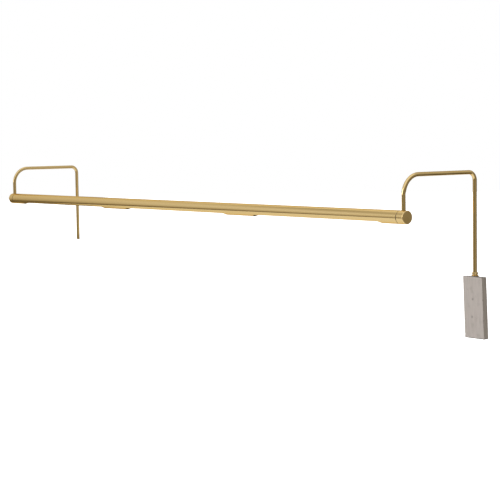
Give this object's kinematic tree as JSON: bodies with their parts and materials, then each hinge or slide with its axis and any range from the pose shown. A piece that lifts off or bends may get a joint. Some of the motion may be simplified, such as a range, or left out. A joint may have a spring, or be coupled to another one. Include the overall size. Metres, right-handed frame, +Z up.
{
  "type": "picture light",
  "caption": "Slim brass tube shade with lamp windows underneath, turning between two bent arms that hook over a picture; the right arm carries a counterweight.",
  "frame": {"origin": "midway between the two rods that hang behind the picture, level with the shade's axis", "axes": "+X along the shade towards the arm with the counterweight, +Y from the shade to the wall, +Z up"},
  "size_m": [1.4642, 0.2075, 0.32],
  "materials": {
    "satin_brass": "satin, fine brushed lines round the bends",
    "shade_brass": "satin, brushed lengthwise",
    "turned_brass": "turned",
    "nut_brass": "turned, bright",
    "zinc_steel": "zinc plated",
    "spring_steel": "blued",
    "black_nylon": "matt",
    "white_enamel": "gloss white enamel",
    "black_phenolic": "moulded, half matt",
    "lamp_cap_metal": "nickel plated, rolled thread",
    "frosted_glass": "frosted",
    "wire_cover": "smooth",
    "crimp_metal": "tinned",
    "weight_metal": "sawn and weathered grey metal"
  },
  "bodies": {
    "left_arm": {"left_arm_rod": "satin_brass", "left_end_knuckle": "satin_brass", "left_end_cap": "satin_brass", "left_pivot_nipple": "zinc_steel", "left_pivot_nut": "zinc_steel", "left_grub_screw": "zinc_steel", "left_spring_washer": "spring_steel", "left_friction_washer": "black_nylon", "left_rod_bush": "black_nylon", "left_arm_lead": "wire_cover"},
    "shade": {"shade_tube": "shade_brass", "left_shade_plug": "turned_brass", "right_shade_plug": "turned_brass", "left_plug_screw": "zinc_steel", "right_plug_screw": "zinc_steel", "tray_screws": "turned_brass", "holder_rivets": "zinc_steel", "shade_harness": "wire_cover", "lead_splices": "crimp_metal", "lamp_tray_1": "white_enamel", "lamp_tray_2": "white_enamel", "lamp_tray_3": "white_enamel", "lamp_holder_1": "black_phenolic", "lamp_cap_1": "lamp_cap_metal", "lamp_glass_1": "frosted_glass", "lamp_holder_2": "black_phenolic", "lamp_cap_2": "lamp_cap_metal", "lamp_glass_2": "frosted_glass", "lamp_holder_3": "black_phenolic", "lamp_cap_3": "lamp_cap_metal", "lamp_glass_3": "frosted_glass", "lamp_holder_4": "black_phenolic", "lamp_cap_4": "lamp_cap_metal", "lamp_glass_4": "frosted_glass", "lamp_holder_5": "black_phenolic", "lamp_cap_5": "lamp_cap_metal", "lamp_glass_5": "frosted_glass", "lamp_holder_6": "black_phenolic", "lamp_cap_6": "lamp_cap_metal", "lamp_glass_6": "frosted_glass"},
    "right_arm": {"right_arm_rod": "satin_brass", "right_end_knuckle": "satin_brass", "right_end_cap": "satin_brass", "right_pivot_nipple": "zinc_steel", "right_pivot_nut": "zinc_steel", "right_grub_screw": "zinc_steel", "right_spring_washer": "spring_steel", "right_friction_washer": "black_nylon", "weight_stud": "zinc_steel", "weight_lock_nut": "nut_brass", "weight_lock_washer": "zinc_steel"},
    "counterweight": {"counterweight": "weight_metal"}
  },
  "joints": [
    {"name": "shade_tilt", "type": "hinge", "parent": "left_arm", "child": "shade", "pos_m": [0, -0.1873, 0], "axis": [1, 0, 0], "range_deg": [-90, 90]},
    {"name": "right_arm_swing", "type": "hinge", "parent": "left_arm", "child": "right_arm", "pos_m": [0, -0.1873, 0], "axis": [1, 0, 0], "range_deg": [-90, 90]},
    {"name": "weight_turn", "type": "hinge", "parent": "right_arm", "child": "counterweight", "pos_m": [0.713, 0, -0.121], "axis": [0, 0, 1], "range_deg": [-90, 90]}
  ]
}
